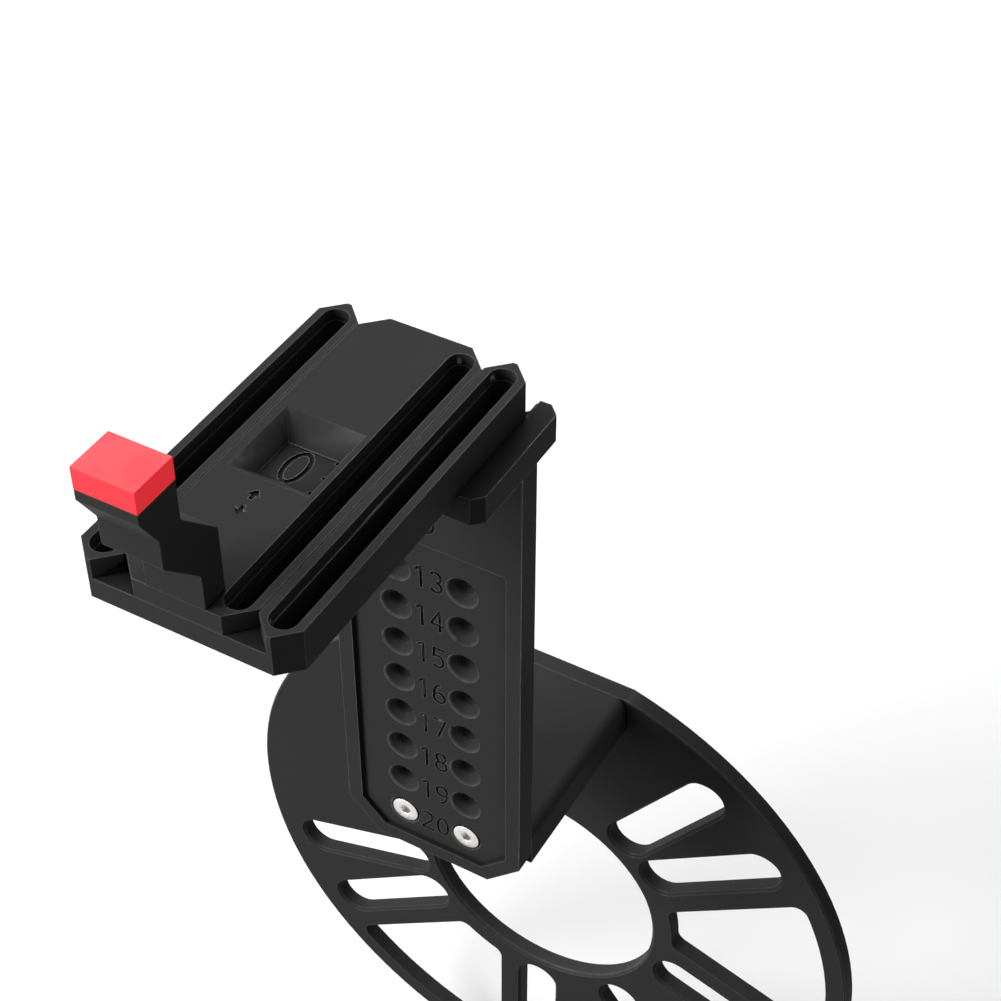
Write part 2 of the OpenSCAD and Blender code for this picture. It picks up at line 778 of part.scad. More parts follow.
module carriage() {
    tongue_low = slide_bottom + tongue_rise - run_gap;
    color(black) difference() {
        union() {
            plan(carriage_bottom, floor_t)
                chamfered_plan(carriage_w / 2, carriage_far, carriage_near, rail_chamfer);
            plan(carriage_bottom, rail_top - carriage_bottom) rail_outline();
            plan(carriage_bottom, rail_top - carriage_bottom) mirror([1, 0, 0]) rail_outline();
        }
        for (s = [-1, 1]) {
            rail_groove(s * rail_mid, carriage_bottom + groove_floor);
            plan(tongue_low, tongue_h + 2 * run_gap) translate([s * rail_in, carriage_mid])
                square([2 * (tongue_w + run_gap), carriage_len + 2 * over], center = true);
        }
        plan(carriage_bottom + groove_floor, floor_t)
            long_groove(slide_groove_x, carriage_far + groove_margin + groove_ledge,
                        carriage_near - groove_margin - groove_ledge, groove_low_w);
        plan(scale_bottom, scale_t + over / 10) scale_plan(press_gap);
        for (out = key_screw_outs) translate([0, -out, 0]) {
            translate([0, 0, carriage_bottom - over]) cylinder(h = floor_t + over, d = small_hole_d);
            translate([0, 0, scale_bottom - small_sink])
                cylinder(h = small_sink, d1 = small_screw_d, d2 = small_screw_d + 2 * small_sink);
        }
        translate([slide_pin_x, -slide_pin_out, carriage_bottom - over])
            cylinder(h = floor_t + 2 * over, d = pin_d + 2 * press_gap);
    }
}

module guide_key() {
    pin_slot = pin_d + 2 * run_gap;
    color(dark) difference() {
        union() {
            plan(key_foot_top - over / 2, carriage_bottom - key_foot_top + over / 2)
                translate([-key_neck_w / 2, key_far]) square([key_neck_w, key_near - key_far]);
            plan(key_bottom, key_foot_t)
                translate([-key_foot_w / 2, key_far]) square([key_foot_w, key_near - key_far]);
        }
        plan(key_bottom - over, pin_stand + over)
            long_groove(key_pin_x, key_pin_out - pin_slot / 2,
                        key_pin_out + width_travel + pin_slot / 2, pin_slot);
        for (out = key_screw_outs) translate([0, -out, key_bottom + key_floor])
            cylinder(h = carriage_bottom, d = small_hole_d);
    }
}

module key_screws() {
    color(steel) for (out = key_screw_outs) translate([0, -out, scale_bottom - screw_sunk])
        sunk_screw(small_screw_d, small_head_d, 0, small_screw_len, small_hex_w);
}

module carriage_spring() {
    color(steel) translate([carriage_spring_x, -carriage_spring_out, carriage_bottom - thread_gap])
        rotate([180, 0, 0]) leaf_spring();
}

module offset_scale() {
    half = floor((offset_in + mark_pitch) / mark_pitch);
    low = floor((offset_out + mark_pitch) / mark_pitch);
    last = carriage_len / 2 - groove_margin - scale_figure_h / 2;
    mark_x = reading_x + reading_low_w / 2 - mark_gap - mark_len / 2;
    color(dark) difference() {
        plan(scale_bottom, scale_t) scale_plan(0);
        translate([slide_pin_x, -slide_pin_out, scale_bottom - over])
            cylinder(h = scale_t + 2 * over, d = pin_d + 2 * scale_relief);
        for (i = [-low : half]) {
            plan(floor_top - engrave, engrave + over)
                translate([mark_x, carriage_mid - i * mark_pitch])
                    square([mark_len, mark_w], center = true);
            if (i % figure_every == 0 && abs(i * mark_pitch) < last) plan(floor_top - engrave, engrave + over)
                translate([reading_x - figure_set, carriage_mid - i * mark_pitch]) mirror([1, 0, 0])
                    number(abs(i * mark_pitch), scale_figure_h);
        }
    }
}

module offset_stop_pin() {
    color(steel) translate([slide_pin_x, -slide_pin_out, carriage_bottom])
        cylinder(h = floor_t + pin_stand, d = pin_d);
}

// Offset slide

// The window's four sloped walls, as the overlap of two wedges
module reading_window() {
    height = slide_t + 2 * over;
    top_w = reading_w / 2 + (reading_w - reading_low_w) / 2 * over / slide_t;
    low_w = reading_low_w / 2 - (reading_w - reading_low_w) / 2 * over / slide_t;
    top_len = reading_len / 2 + (reading_len - reading_low_len) / 2 * over / slide_t;
    low_len = reading_low_len / 2 - (reading_len - reading_low_len) / 2 * over / slide_t;
    translate([reading_x, -carriage_mid, slide_bottom - over]) intersection() {
        rotate([90, 0, 0]) linear_extrude(2 * reading_len, center = true)
            polygon([[-low_w, 0], [low_w, 0], [top_w, height], [-top_w, height]]);
        rotate([90, 0, 90]) linear_extrude(2 * reading_w, center = true)
            polygon([[-low_len, 0], [low_len, 0], [top_len, height], [-top_len, height]]);
    }
}

// Plain arrows of unit reach, one towards the street and one towards the vehicle
module travel_arrows() {
    for (s = [0, 1]) mirror([0, s])
        polygon([[-0.125, 0.225], [0.125, 0.225], [0.125, 0.55], [0.375, 0.55],
                 [0, 1], [-0.375, 0.55], [-0.125, 0.55]]);
}

module offset_slide() {
    arrows_out = carriage_mid + reading_len / 2 + arrow_set;
    pin_slot = pin_d + 2 * run_gap;
    tongue_len = carriage_len - 2 * slide_chamfer - 2 * tongue_end;
    color(black) difference() {
        union() {
            plan(slide_bottom, slide_t)
                chamfered_plan(slide_w / 2, carriage_far, carriage_near, slide_chamfer);
            plan(slide_bottom + tongue_rise, tongue_h) translate([0, carriage_mid])
                square([slide_w + 2 * tongue_w, tongue_len], center = true);
        }
        reading_window();
        rail_groove(slide_groove_x, slide_bottom - over);
        plan(rail_top - engrave, engrave + over) translate([reading_x, arrows_out])
            scale(arrow_len) travel_arrows();
        plan(slide_bottom - over, pin_stand + 2 * run_gap + over)
            long_groove(slide_pin_x, slide_pin_out - offset_out - pin_slot / 2,
                        slide_pin_out + offset_in + pin_slot / 2, pin_slot);
        plan(slide_bottom - over, leaf_pocket + over) leaf_pocket_plan(slide_spring_x, slide_spring_out);
        for (s = [-1, 1]) translate([s * post_screw_gap / 2, -post_mid, slide_bottom - over]) {
            cylinder(h = slide_t + 2 * over, d = small_hole_d);
            cylinder(h = small_sink + over, d1 = small_screw_d + 2 * (small_sink + over), d2 = small_screw_d);
        }
    }
}

module slide_spring() {
    color(steel) translate([slide_spring_x, -slide_spring_out, floor_top + thread_gap]) leaf_spring();
}

// Lip post and its cap

module post_outline() {
    polygon(rounded(
        [[carriage_near, 0], [carriage_near, post_low], [neck_front, slope_top], [neck_front, flare_low],
         [post_head_front, head_low], [post_head_front, post_top], [neck_back, post_top],
         [neck_back, post_bend + post_step], [post_back, post_bend], [post_back, 0]],
        [0, post_round, post_round, post_round, post_edge_round, 0, 0, post_round, post_round, 0]));
}

module post_peg(gap) {
    translate([-peg_w / 2 - gap, -(post_head_front + neck_back) / 2 - peg_len / 2 - gap, 0])
        cube([peg_w + 2 * gap, peg_len + 2 * gap, peg_h + gap]);
}

module lip_post() {
    color(black) difference() {
        union() {
            translate([0, 0, rail_top]) side_profile(post_w) post_outline();
            translate([0, 0, cap_bottom]) post_peg(0);
        }
        for (s = [-1, 1]) translate([s * post_screw_gap / 2, -post_mid, rail_top - over])
            cylinder(h = small_screw_len, d = small_hole_d);
    }
}

module post_screws() {
    color(steel) for (s = [-1, 1])
        translate([s * post_screw_gap / 2, -post_mid, slide_bottom + screw_sunk]) rotate([180, 0, 0])
            sunk_screw(small_screw_d, small_head_d, 0, small_screw_len, small_hex_w);
}

module tip_cap() {
    color(red) difference() {
        translate([-post_w / 2, -post_head_front, cap_bottom])
            cube([post_w, post_head_front - neck_back, cap_h]);
        translate([0, 0, cap_bottom]) post_peg(press_gap);
        translate([0, 0, cap_bottom - over]) post_peg(press_gap);
    }
}

hub_plate();
standoff_block();
standoff_screws();
standoff_inserts();
arm();
arm_inserts();
left_arm_screw();
right_arm_screw();
carriage();
guide_key();
key_screws();
carriage_spring();
width_stop_pin();
offset_scale();
offset_stop_pin();
offset_slide();
slide_spring();
lip_post();
post_screws();
tip_cap();
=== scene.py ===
"""Looks of the wheel fitment offset gauge.

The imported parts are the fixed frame. Moulded pieces get rounded edges and a satin plastic, screws get
threads and hex sockets, inserts get a knurl, and a plain studio stands around them. All sizes are in
metres.
"""

import logging
import math
from dataclasses import dataclass, field
from enum import Enum
from typing import Callable, NamedTuple

import bmesh
import bpy
from mathutils import Matrix, Vector


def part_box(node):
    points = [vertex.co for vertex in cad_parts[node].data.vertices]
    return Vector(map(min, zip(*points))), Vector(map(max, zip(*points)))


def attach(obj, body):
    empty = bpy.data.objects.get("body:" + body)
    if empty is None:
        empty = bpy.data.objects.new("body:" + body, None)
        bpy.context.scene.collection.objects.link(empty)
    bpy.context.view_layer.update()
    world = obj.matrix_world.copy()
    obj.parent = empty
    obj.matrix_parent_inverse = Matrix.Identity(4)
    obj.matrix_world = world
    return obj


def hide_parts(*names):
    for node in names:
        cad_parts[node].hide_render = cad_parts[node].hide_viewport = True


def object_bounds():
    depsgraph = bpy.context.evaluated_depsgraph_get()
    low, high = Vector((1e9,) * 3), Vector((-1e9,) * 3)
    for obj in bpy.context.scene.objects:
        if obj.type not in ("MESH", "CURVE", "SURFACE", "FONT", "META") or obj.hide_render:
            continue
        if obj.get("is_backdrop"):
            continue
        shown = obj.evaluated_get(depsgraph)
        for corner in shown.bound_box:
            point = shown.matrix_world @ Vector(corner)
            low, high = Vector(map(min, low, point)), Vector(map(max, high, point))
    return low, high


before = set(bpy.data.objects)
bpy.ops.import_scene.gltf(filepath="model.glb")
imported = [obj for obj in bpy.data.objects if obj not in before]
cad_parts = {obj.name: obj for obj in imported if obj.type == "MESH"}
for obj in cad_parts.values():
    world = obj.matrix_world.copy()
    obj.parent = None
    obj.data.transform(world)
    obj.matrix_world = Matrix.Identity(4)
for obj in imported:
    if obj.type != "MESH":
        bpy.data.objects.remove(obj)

Colour = tuple[float, float, float]
RadiusAt = Callable[[float], float]
MM = 0.001
INSERT_BORE = 4.1 * MM
BEVEL_SAMPLES = 4
SHADE_SAMPLES = 6
log = logging.getLogger("offset_gauge")


class Facing(Enum):
    """Way that a screw's head faces, as the turn that brings +Z there."""

    STREET = Matrix.Rotation(math.radians(90), 4, "X")
    VEHICLE = Matrix.Rotation(math.radians(-90), 4, "X")
    UP = Matrix.Identity(4)
    DOWN = Matrix.Rotation(math.radians(180), 4, "X")


class EdgeRound(Enum):
    """Radius of a moulded edge."""

    CRISP = 0.14 * MM
    MOULDED = 0.25 * MM


class NodeSheet:
    """A node tree with short calls that add and join nodes."""

    def __init__(self, tree: bpy.types.NodeTree) -> None:
        """Keep the tree that the nodes go into."""
        self.tree = tree

    def add(self, kind: str, **settings: object) -> bpy.types.Node:
        """Add a node.

        Args:
            kind: Blender's name for the node's type.
            settings: Properties to set on the node.

        Returns:
            The new node.
        """
        node = self.tree.nodes.new(kind)
        for name, value in settings.items():
            setattr(node, name, value)
        return node

    def join(self, source: bpy.types.NodeSocket, target: bpy.types.NodeSocket) -> None:
        """Link an output to an input."""
        self.tree.links.new(source, target)

    def math(self, operation: str, first: object, second: object = 0.0,
             clamp: bool = False) -> bpy.types.NodeSocket:
        """Add a Math node.

        Args:
            operation: The Math node's operation.
            first: A socket or a number.
            second: A socket or a number.
            clamp: Whether the result stays between 0 and 1.

        Returns:
            The node's output.
        """
        node = self.add("ShaderNodeMath", operation=operation, use_clamp=clamp)
        for socket, value in zip(node.inputs, (first, second)):
            if isinstance(value, bpy.types.NodeSocket):
                self.join(value, socket)
            else:
                socket.default_value = value
        return node.outputs[0]

    def blend(self, factor: bpy.types.NodeSocket, low: object, high: object) -> bpy.types.NodeSocket:
        """Mix two colours.

        Args:
            factor: The mask that brings in the second colour.
            low: A colour or a colour socket.
            high: A colour or a colour socket.

        Returns:
            The mixed colour's output.
        """
        node = self.add("ShaderNodeMix", data_type="RGBA", clamp_factor=True)
        self.join(factor, node.inputs["Factor"])
        for socket, value in zip(node.inputs[6:8], (low, high)):
            if isinstance(value, bpy.types.NodeSocket):
                self.join(value, socket)
            else:
                socket.default_value = (*value, 1.0)
        return node.outputs[2]

    def spread(self, value: bpy.types.NodeSocket, low: float, high: float) -> bpy.types.NodeSocket:
        """Map a value from 0 to 1 onto a range.

        Args:
            value: The value to map.
            low: What 0 becomes.
            high: What 1 becomes.

        Returns:
            The mapped value's output.
        """
        node = self.add("ShaderNodeMapRange")
        self.join(value, node.inputs["Value"])
        node.inputs["To Min"].default_value = low
        node.inputs["To Max"].default_value = high
        return node.outputs["Result"]


class SurfaceEffects:
    """The shader node groups that several finishes share."""

    def __init__(self) -> None:
        """Build every group once."""
        self.grain = self.fine_grain()
        self.polish_and_painted_highlight = self.edge_polish_and_painted_highlight()
        self.painted_crevice_shade = self.crevice_shade()
        self.dust_and_sheen = self.dust_and_top_sheen()
        self.lines = self.turned_lines()

    @staticmethod
    def group(name: str, inputs: dict[str, float],
              outputs: list[str]) -> tuple[NodeSheet, bpy.types.Node, bpy.types.Node]:
        """Start a node group with value sockets.

        Args:
            name: The group's name.
            inputs: Each input's name and default.
            outputs: Each output's name.

        Returns:
            The group's sheet, its input node and its output node.
        """
        tree = bpy.data.node_groups.new(name, "ShaderNodeTree")
        for label, value in inputs.items():
            socket = tree.interface.new_socket(label, in_out="INPUT", socket_type="NodeSocketFloat")
            socket.default_value = value
        for label in outputs:
            tree.interface.new_socket(label, in_out="OUTPUT", socket_type="NodeSocketFloat")
        sheet = NodeSheet(tree)
        return sheet, sheet.add("NodeGroupInput"), sheet.add("NodeGroupOutput")

    def fine_grain(self) -> bpy.types.NodeTree:
        """Make the fine spark texture of a mould, and a broad drift in tone.

        Returns:
            The node group.
        """
        sheet, given, result = self.group("FineGrain", {"Scale": 4000.0, "Drift": 40.0}, ["Height", "Tone"])
        place = sheet.add("ShaderNodeTexCoord").outputs["Object"]
        for label, source, detail in (("Height", "Scale", 3.0), ("Tone", "Drift", 5.0)):
            noise = sheet.add("ShaderNodeTexNoise")
            noise.inputs["Detail"].default_value = detail
            sheet.join(place, noise.inputs["Vector"])
            sheet.join(given.outputs[source], noise.inputs["Scale"])
            sheet.join(noise.outputs[0], result.inputs[label])
        return sheet.tree

    def edge_polish_and_painted_highlight(self) -> bpy.types.NodeTree:
        """Make a broken mask along the edges, from how far a rounded normal turns away; it paints a
        highlight along the edges and gives them a glossy coat.

        Returns:
            The node group.
        """
        wanted = {"Radius": 0.5 * MM, "Strength": 3.0, "Scale": 600.0}
        sheet, given, result = self.group("EdgePolishAndPaintedHighlight", wanted, ["Mask"])
        rounded = sheet.add("ShaderNodeBevel", samples=BEVEL_SAMPLES)
        sheet.join(given.outputs["Radius"], rounded.inputs["Radius"])
        turn = sheet.add("ShaderNodeVectorMath", operation="DOT_PRODUCT")
        sheet.join(rounded.outputs["Normal"], turn.inputs[0])
        sheet.join(sheet.add("ShaderNodeNewGeometry").outputs["True Normal"], turn.inputs[1])
        broken = sheet.add("ShaderNodeTexNoise")
        sheet.join(given.outputs["Scale"], broken.inputs["Scale"])
        sheet.join(sheet.add("ShaderNodeTexCoord").outputs["Object"], broken.inputs["Vector"])
        turned = sheet.math("SUBTRACT", 1.0, turn.outputs["Value"])
        scaled = sheet.math("MULTIPLY", turned, given.outputs["Strength"])
        sheet.join(sheet.math("MULTIPLY", scaled, broken.outputs[0], clamp=True), result.inputs["Mask"])
        return sheet.tree

    def crevice_shade(self) -> bpy.types.NodeTree:
        """Make a mask of painted shade that darkens engraved lines, inner corners and wider hollows.

        Returns:
            The node group.
        """
        wanted = {"Reach": 0.8 * MM, "Strength": 1.5, "Hollow": 5.0 * MM, "Depth": 0.75}
        sheet, given, result = self.group("CreviceShade", wanted, ["Mask"])
        masks = []
        for reach, strength in (("Reach", "Strength"), ("Hollow", "Depth")):
            open_sky = sheet.add("ShaderNodeAmbientOcclusion", samples=SHADE_SAMPLES)
            sheet.join(given.outputs[reach], open_sky.inputs["Distance"])
            closed = sheet.math("SUBTRACT", 1.0, open_sky.outputs["AO"])
            masks.append(sheet.math("MULTIPLY", closed, given.outputs[strength], clamp=True))
        sheet.join(sheet.math("MAXIMUM", *masks), result.inputs["Mask"])
        return sheet.tree

    def dust_and_top_sheen(self) -> bpy.types.NodeTree:
        """Make a patchy mask on faces that look up, for dust and a painted sheen on top faces.

        Returns:
            The node group.
        """
        sheet, given, result = self.group("DustAndPaintedTopSheen", {"Scale": 120.0, "Amount": 0.1}, ["Mask"])
        facing = sheet.add("ShaderNodeSeparateXYZ")
        sheet.join(sheet.add("ShaderNodeNewGeometry").outputs["Normal"], facing.inputs[0])
        patches = sheet.add("ShaderNodeTexNoise")
        patches.inputs["Detail"].default_value = 6.0
        sheet.join(sheet.add("ShaderNodeTexCoord").outputs["Object"], patches.inputs["Vector"])
        sheet.join(given.outputs["Scale"], patches.inputs["Scale"])
        upward = sheet.math("MULTIPLY", facing.outputs["Z"], given.outputs["Amount"], clamp=True)
        sheet.join(sheet.math("MULTIPLY", upward, patches.outputs[0]), result.inputs["Mask"])
        return sheet.tree

    def turned_lines(self) -> bpy.types.NodeTree:
        """Make the fine rings that a lathe leaves around a piece's own Z axis.

        Returns:
            The node group.
        """
        sheet, given, result = self.group("TurnedLines", {"Pitch": 0.25 * MM}, ["Height", "Tone"])
        place = sheet.add("ShaderNodeSeparateXYZ")
        sheet.join(sheet.add("ShaderNodeTexCoord").outputs["Object"], place.inputs[0])
        flat = sheet.add("ShaderNodeCombineXYZ")
        for axis in ("X", "Y"):
            sheet.join(place.outputs[axis], flat.inputs[axis])
        away = sheet.add("ShaderNodeVectorMath", operation="LENGTH")
        sheet.join(flat.outputs[0], away.inputs[0])
        rings = sheet.math("DIVIDE", away.outputs["Value"], given.outputs["Pitch"])
        noise = sheet.add("ShaderNodeTexNoise", noise_dimensions="1D")
        noise.inputs["Scale"].default_value = 1.0
        sheet.join(rings, noise.inputs["W"])
        for label in ("Height", "Tone"):
            sheet.join(noise.outputs[0], result.inputs[label])
        return sheet.tree


@dataclass(frozen=True)
class MouldedPlastic:
    """A satin moulded plastic with glossy edges, a painted highlight along its edges and painted shade in
    its crevices.
    """

    name: str
    base: Colour
    # Colour of the painted highlight along edges.
    edge: Colour
    # Colour of the painted shade in crevices, engraved lines and hollows.
    painted_crevice_shade: Colour
    # Colour of dust, and of a painted sheen, on faces that look up.
    dust_and_sheen: Colour
    roughness: float
    specular: float
    edge_strength: float
    grain_depth: float
    dust_and_sheen_amount: float
    drift: float = 1.18
    swing: float = 0.06
    grain_strength: float = 0.25
    edge_roughness: float = 0.2
    # Emission that makes the piece glow by painted light, though it is no lamp.
    glow: Colour = (0.0, 0.0, 0.0)

    def material(self, effects: SurfaceEffects) -> bpy.types.Material:
        """Build the material.

        Args:
            effects: The shared node groups.

        Returns:
            The new material.
        """
        made = bpy.data.materials.new(self.name)
        made.use_nodes = True
        sheet = NodeSheet(made.node_tree)
        shader = made.node_tree.nodes["Principled BSDF"]
        grain = sheet.add("ShaderNodeGroup", node_tree=effects.grain)
        polish_and_painted_highlight = sheet.add("ShaderNodeGroup", node_tree=effects.polish_and_painted_highlight)
        polish_and_painted_highlight.inputs["Strength"].default_value = self.edge_strength
        painted_crevice_shade = sheet.add("ShaderNodeGroup", node_tree=effects.painted_crevice_shade)
        dust_and_sheen = sheet.add("ShaderNodeGroup", node_tree=effects.dust_and_sheen)
        dust_and_sheen.inputs["Amount"].default_value = self.dust_and_sheen_amount
        light = tuple(self.drift * part for part in self.base)
        colour = sheet.blend(grain.outputs["Tone"], self.base, light)
        # Painted highlight: edges lighten where a rounded normal turns away from the face.
        colour = sheet.blend(polish_and_painted_highlight.outputs["Mask"], colour, self.edge)
        # Dust, and a painted sheen, lighten faces that look up in patches.
        colour = sheet.blend(dust_and_sheen.outputs["Mask"], colour, self.dust_and_sheen)
        # Painted shade: engraved lines, inner corners and hollows darken.
        colour = sheet.blend(painted_crevice_shade.outputs["Mask"], colour, self.painted_crevice_shade)
        sheet.join(colour, shader.inputs["Base Color"])
        low, high = self.roughness - self.swing, self.roughness + self.swing
        rough = sheet.spread(grain.outputs["Tone"], low, high)
        sheet.join(rough, shader.inputs["Roughness"])
        sheet.join(polish_and_painted_highlight.outputs["Mask"], shader.inputs["Coat Weight"])
        shader.inputs["Coat Roughness"].default_value = self.edge_roughness
        bump = sheet.add("ShaderNodeBump")
        bump.inputs["Strength"].default_value = self.grain_strength
        bump.inputs["Distance"].default_value = self.grain_depth
        sheet.join(grain.outputs["Height"], bump.inputs["Height"])
        sheet.join(bump.outputs["Normal"], shader.inputs["Normal"])
        shader.inputs["Specular IOR Level"].default_value = self.specular
        # Painted light: the emission makes the piece glow.
        shader.inputs["Emission Color"].default_value = (*self.glow, 1.0)
        shader.inputs["Emission Strength"].default_value = 1.0 if any(self.glow) else 0.0
        return made


@dataclass(frozen=True)
class WorkedMetal:
    """A turned, pressed or rolled metal with fine lines and painted shade in its hollows."""

    name: str
    base: Colour
    # Colour of the painted shade in hollows and sockets.
    painted_hollow_shade: Colour
    roughness: float
    line_pitch: float
    line_depth: float
    line_strength: float = 0.3
    smoother: float = 0.08
    rougher: float = 0.1
    lift: float = 1.08
    tone_scale: float = 500.0
    crevice_reach: float = 0.6 * MM
    crevice_strength: float = 0.9
    hollow_depth: float = 0.25

    def material(self, effects: SurfaceEffects) -> bpy.types.Material:
        """Build the material.

        Args:
            effects: The shared node groups.

        Returns:
            The new material.
        """
        made = bpy.data.materials.new(self.name)
        made.use_nodes = True
        sheet = NodeSheet(made.node_tree)
        shader = made.node_tree.nodes["Principled BSDF"]
        lines = sheet.add("ShaderNodeGroup", node_tree=effects.lines)
        lines.inputs["Pitch"].default_value = self.line_pitch
        grain = sheet.add("ShaderNodeGroup", node_tree=effects.grain)
        grain.inputs["Drift"].default_value = self.tone_scale
        painted_crevice_shade = sheet.add("ShaderNodeGroup", node_tree=effects.painted_crevice_shade)
        painted_crevice_shade.inputs["Reach"].default_value = self.crevice_reach
        painted_crevice_shade.inputs["Strength"].default_value = self.crevice_strength
        painted_crevice_shade.inputs["Depth"].default_value = self.hollow_depth
        light = tuple(min(1.0, self.lift * part) for part in self.base)
        colour = sheet.blend(grain.outputs["Tone"], self.base, light)
        # Painted shade: hollows and sockets darken.
        colour = sheet.blend(painted_crevice_shade.outputs["Mask"], colour, self.painted_hollow_shade)
        sheet.join(colour, shader.inputs["Base Color"])
        low, high = self.roughness - self.smoother, self.roughness + self.rougher
        rough = sheet.spread(lines.outputs["Tone"], low, high)
        sheet.join(rough, shader.inputs["Roughness"])
        bump = sheet.add("ShaderNodeBump")
        bump.inputs["Strength"].default_value = self.line_strength
        bump.inputs["Distance"].default_value = self.line_depth
        sheet.join(lines.outputs["Height"], bump.inputs["Height"])
        sheet.join(bump.outputs["Normal"], shader.inputs["Normal"])
        shader.inputs["Metallic"].default_value = 1.0
        return made


BLACK_PLASTIC = MouldedPlastic(
    "black_moulded_plastic", base=(0.038, 0.038, 0.039), edge=(0.17, 0.17, 0.172),
    painted_crevice_shade=(0.004, 0.004, 0.004), dust_and_sheen=(0.12, 0.12, 0.12), roughness=0.48, specular=0.008,
    edge_strength=3.0, grain_depth=0.03 * MM, dust_and_sheen_amount=0.04)
DARK_PLASTIC = MouldedPlastic(
    "dark_key_plastic", base=(0.026, 0.026, 0.027), edge=(0.08, 0.08, 0.082),
    painted_crevice_shade=(0.003, 0.003, 0.003), dust_and_sheen=(0.1, 0.1, 0.1), roughness=0.6, specular=0.06,
    edge_strength=1.0, grain_depth=0.03 * MM, dust_and_sheen_amount=0.03)
# Red tip: its glow is painted light, its dust colour also paints a sheen on its top, and its crevice colour
# is painted shade.
RED_PLASTIC = MouldedPlastic(
    "red_tip_plastic", base=(0.7, 0.045, 0.06), edge=(0.8, 0.16, 0.18),
    painted_crevice_shade=(0.4, 0.01, 0.015), dust_and_sheen=(0.9, 0.6, 0.6), roughness=0.4, specular=0.1,
    edge_strength=0.9, grain_depth=0.02 * MM, dust_and_sheen_amount=0.22, glow=(0.5, 0.008, 0.012))
# The metals' stain colours are painted shade in hollows and sockets.
SCREW_STEEL = WorkedMetal(
    "bright_screw_steel", base=(0.64, 0.62, 0.59), painted_hollow_shade=(0.38, 0.36, 0.33), roughness=0.36,
    line_pitch=0.12 * MM, line_depth=0.006 * MM)
SPRING_STEEL = WorkedMetal(
    "rolled_spring_steel", base=(0.5, 0.5, 0.51), painted_hollow_shade=(0.12, 0.12, 0.12), roughness=0.3,
    line_pitch=0.3 * MM, line_depth=0.004 * MM)
INSERT_BRASS = WorkedMetal(
    "turned_insert_brass", base=(0.62, 0.44, 0.19), painted_hollow_shade=(0.14, 0.09, 0.03), roughness=0.32,
    line_pitch=0.2 * MM, line_depth=0.006 * MM)


@dataclass
class Workshop:
    """The finishes as materials, and the calls that settle a piece in the frame."""

    effects: SurfaceEffects = field(default_factory=SurfaceEffects)
    made: dict[str, bpy.types.Material] = field(default_factory=dict)

    def finish(self, finish: MouldedPlastic | WorkedMetal) -> bpy.types.Material:
        """Give a finish's material, built the first time it is asked for.

        Args:
            finish: The finish to look up.

        Returns:
            The finish's material.
        """
        if finish.name not in self.made:
            self.made[finish.name] = finish.material(self.effects)
        return self.made[finish.name]

    def dress(self, piece: bpy.types.Object, finish: MouldedPlastic | WorkedMetal) -> None:
        """Put a finish on every material slot of a piece.

        Args:
            piece: The object to dress.
            finish: The finish to use.
        """
        if not piece.material_slots:
            piece.data.materials.append(None)
        for place in piece.material_slots:
            place.material = self.finish(finish)
        log.info("dressed %s in %s", piece.name, finish.name)

    @staticmethod
    def settle(piece: bpy.types.Object, node: str, body: str, slot: str) -> None:
        """Let a piece stand for a node of the frame.

        Args:
            piece: The new object.
            node: The node that it stands for.
            body: The body that it rides.
            slot: A material slot's name; not used.
        """
        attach(piece, body)
        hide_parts(node)
        log.info("built %s for %s on %s", piece.name, node, body)


def linked(name: str, shape: bmesh.types.BMesh, crease: float) -> bpy.types.Object:
    """Turn a finished shape into an object in the scene.

    Args:
        name: The object's name.
        shape: The shape, which is freed.
        crease: Edges that turn by more than this stay sharp.

    Returns:
        The new object, shaded smooth between its sharp edges.
    """
    mesh = bpy.data.meshes.new(name)
    shape.to_mesh(mesh)
    shape.free()
    mesh.shade_smooth()
    mesh.set_sharp_from_angle(angle=crease)
    piece = bpy.data.objects.new(name, mesh)
    bpy.context.scene.collection.objects.link(piece)
    return piece


